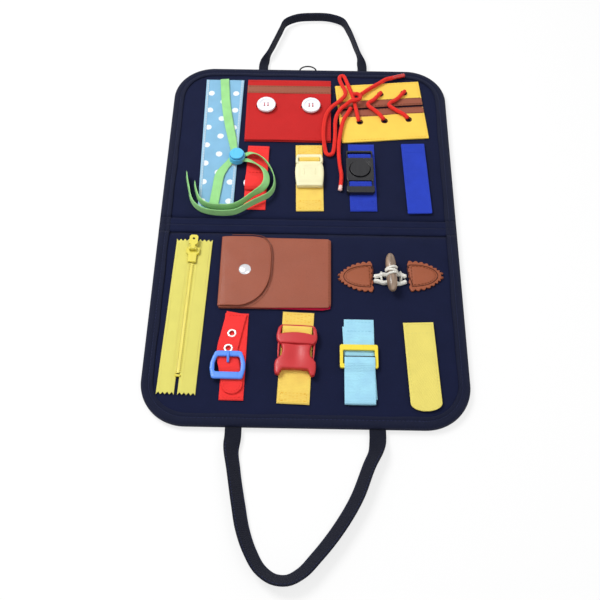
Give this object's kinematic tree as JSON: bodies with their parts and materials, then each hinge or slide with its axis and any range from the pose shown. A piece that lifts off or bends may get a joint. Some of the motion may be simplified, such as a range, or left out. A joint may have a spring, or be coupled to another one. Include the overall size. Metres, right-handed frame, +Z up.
{
  "type": "folding fabric busy board",
  "caption": "Two-panel fabric activity case with handles, carrying straps, buckles, a zip, lacing, buttons, a wallet and tabs to practise fastening.",
  "frame": {"origin": "middle of the underside of the spine, board open and flat", "axes": "+X to the right, +Y from the lower handle to the upper handle, +Z up out of the face"},
  "size_m": [0.265, 0.5747, 0.0186],
  "materials": {
    "navy_cloth": "woven",
    "navy_binding": "webbing",
    "stiffener": "hidden board",
    "black_elastic": "elastic",
    "dotted_cloth": "woven, white dots",
    "green_tape": "flat tape",
    "sky_plastic": "moulded",
    "red_cloth": "woven",
    "white_plastic": "moulded",
    "yellow_cloth": "woven",
    "red_lace": "round lace",
    "red_webbing": "webbing",
    "yellow_webbing": "webbing",
    "cream_plastic": "moulded",
    "blue_webbing": "webbing",
    "black_plastic": "moulded",
    "blue_tab_cloth": "loop tape",
    "zip_yellow": "zip tape and coil",
    "zip_plastic": "painted slider",
    "brown_leather": "grained",
    "crimson_cloth": "lining",
    "snap_metal": "domed cap",
    "tan_leather": "stitched",
    "natural_cord": "cord",
    "horn": "mottled",
    "blue_plastic": "moulded",
    "red_plastic": "moulded",
    "light_blue_webbing": "webbing",
    "yellow_plastic": "moulded",
    "yellow_tab_cloth": "loop tape"
  },
  "bodies": {
    "lower_panel": {"lower_cover": "navy_cloth", "lower_stiffener": "stiffener", "lower_binding": "navy_binding", "zipper_tape_left": "zip_yellow", "zipper_tape_right": "zip_yellow", "wallet_body": "brown_leather", "wallet_lining": "crimson_cloth", "toggle_pad_left": "tan_leather", "toggle_pad_right": "tan_leather", "toggle_cord_left": "natural_cord", "toggle_cord_right": "natural_cord", "belt_strap": "red_webbing", "belt_tongue": "red_webbing", "release_strap": "yellow_webbing", "release_socket": "red_plastic", "slide_strap": "light_blue_webbing", "yellow_tab_base": "yellow_tab_cloth"},
    "spine": {"spine_cover": "navy_cloth"},
    "upper_panel": {"upper_cover": "navy_cloth", "upper_stiffener": "stiffener", "upper_binding": "navy_binding", "closing_loop": "black_elastic", "dotted_patch": "dotted_cloth", "drawstring_run": "green_tape", "drawstring_end_a": "green_tape", "drawstring_end_b": "green_tape", "cord_lock_barrel": "sky_plastic", "button_backing": "red_cloth", "button_flap": "red_cloth", "lacing_upper_flap": "yellow_cloth", "lacing_lower_flap": "yellow_cloth", "lace_cross_middle": "red_lace", "lace_cross_right": "red_lace", "lace_bow": "red_lace", "lace_end_left": "red_lace", "lace_end_right": "red_lace", "ring_strap": "red_webbing", "cream_strap": "yellow_webbing", "cream_buckle": "cream_plastic", "blue_strap": "blue_webbing", "black_buckle": "black_plastic", "blue_tab_base": "blue_tab_cloth"},
    "lower_handle": {"lower_handle": "navy_binding"},
    "upper_handle": {"upper_handle": "navy_binding"},
    "lock_button": {"cord_lock_button": "sky_plastic"},
    "button_left": {"button_left": "white_plastic"},
    "button_right": {"button_right": "white_plastic"},
    "ring": {"strap_ring": "white_plastic"},
    "cream_clip": {"cream_clip": "cream_plastic"},
    "black_button": {"black_button": "black_plastic"},
    "blue_tab_flap": {"blue_tab_flap": "blue_tab_cloth"},
    "slider": {"zipper_slider": "zip_plastic"},
    "pull": {"zipper_pull": "zip_plastic"},
    "wallet_flap": {"wallet_flap": "brown_leather", "snap_cap": "snap_metal"},
    "toggle": {"toggle_button": "horn"},
    "belt_buckle": {"belt_buckle": "blue_plastic"},
    "release_clip": {"release_clip": "red_plastic"},
    "slide": {"slide_buckle": "yellow_plastic"},
    "yellow_tab_flap": {"yellow_tab_flap": "yellow_tab_cloth"}
  },
  "joints": [
    {"name": "spine_fold", "type": "hinge", "parent": "lower_panel", "child": "spine", "pos_m": [0, -0.007, 0.0072], "axis": [-1, 0, 0], "range_deg": [-87, 0]},
    {"name": "panel_fold", "type": "hinge", "parent": "spine", "child": "upper_panel", "pos_m": [0, 0.007, 0.0072], "axis": [-1, 0, 0], "range_deg": [-87, 0]},
    {"name": "lower_handle_swing", "type": "hinge", "parent": "lower_panel", "child": "lower_handle", "pos_m": [0, -0.1912, 0.0036], "axis": [-1, 0, 0], "range_deg": [0, 75]},
    {"name": "upper_handle_swing", "type": "hinge", "parent": "upper_panel", "child": "upper_handle", "pos_m": [0, 0.1912, 0.0036], "axis": [1, 0, 0], "range_deg": [0, 75]},
    {"name": "cord_lock_press", "type": "slide", "parent": "upper_panel", "child": "lock_button", "axis": [0, 0, -1], "range_m": [0, 0.0015], "stiffness_N_per_m": 300},
    {"name": "button_left_tilt", "type": "hinge", "parent": "upper_panel", "child": "button_left", "pos_m": [-0.04182, 0.13639, 0.0078], "axis": [0, 1, 0], "range_deg": [0, 8]},
    {"name": "button_right_tilt", "type": "hinge", "parent": "upper_panel", "child": "button_right", "pos_m": [0.00128, 0.13639, 0.0078], "axis": [0, 1, 0], "range_deg": [0, 8]},
    {"name": "ring_slip", "type": "slide", "parent": "upper_panel", "child": "ring", "axis": [-0.9998, 0.0192, 0], "range_m": [0, 0.002]},
    {"name": "cream_clip_release", "type": "slide", "parent": "upper_panel", "child": "cream_clip", "axis": [-0.0227, 0.9997, 0], "range_m": [0, 0.014]},
    {"name": "black_button_press", "type": "slide", "parent": "upper_panel", "child": "black_button", "axis": [0, 0, -1], "range_m": [0, 0.0015], "stiffness_N_per_m": 300},
    {"name": "blue_tab_peel", "type": "hinge", "parent": "upper_panel", "child": "blue_tab_flap", "pos_m": [0.09732, 0.09378, 0.0076], "axis": [-0.9993, -0.0384, 0], "range_deg": [0, 120]},
    {"name": "zipper_slide", "type": "slide", "parent": "lower_panel", "child": "slider", "axis": [-0.0279, -0.9996, 0], "range_m": [0, 0.105]},
    {"name": "zipper_pull_flip", "type": "hinge", "parent": "slider", "child": "pull", "pos_m": [-0.09953, -0.02869, 0.0123], "axis": [0.9996, -0.0279, 0], "range_deg": [0, 150]},
    {"name": "wallet_flap_open", "type": "hinge", "parent": "lower_panel", "child": "wallet_flap", "pos_m": [-0.075, -0.04954, 0.0096], "axis": [0, -1, 0], "range_deg": [0, 150]},
    {"name": "toggle_turn", "type": "hinge", "parent": "lower_panel", "child": "toggle", "pos_m": [0.07168, -0.0508, 0.0141], "axis": [0, 0, 1], "range_deg": [0, 80]},
    {"name": "belt_buckle_lift", "type": "hinge", "parent": "lower_panel", "child": "belt_buckle", "pos_m": [-0.0588, -0.15102, 0.0095], "axis": [0.9999, -0.0105, 0], "range_deg": [0, 60]},
    {"name": "release_clip_out", "type": "slide", "parent": "lower_panel", "child": "release_clip", "axis": [0.0384, 0.9993, 0], "range_m": [0, 0.013]},
    {"name": "slide_adjust", "type": "slide", "parent": "lower_panel", "child": "slide", "axis": [0, 1, 0], "range_m": [0, 0.018]},
    {"name": "yellow_tab_peel", "type": "hinge", "parent": "lower_panel", "child": "yellow_tab_flap", "pos_m": [0.09283, -0.09575, 0.0076], "axis": [-0.9991, -0.0419, 0], "range_deg": [0, 120]}
  ],
  "couplings": [
    {"joint": "panel_fold", "follows": "spine_fold", "ratio": 1}
  ]
}
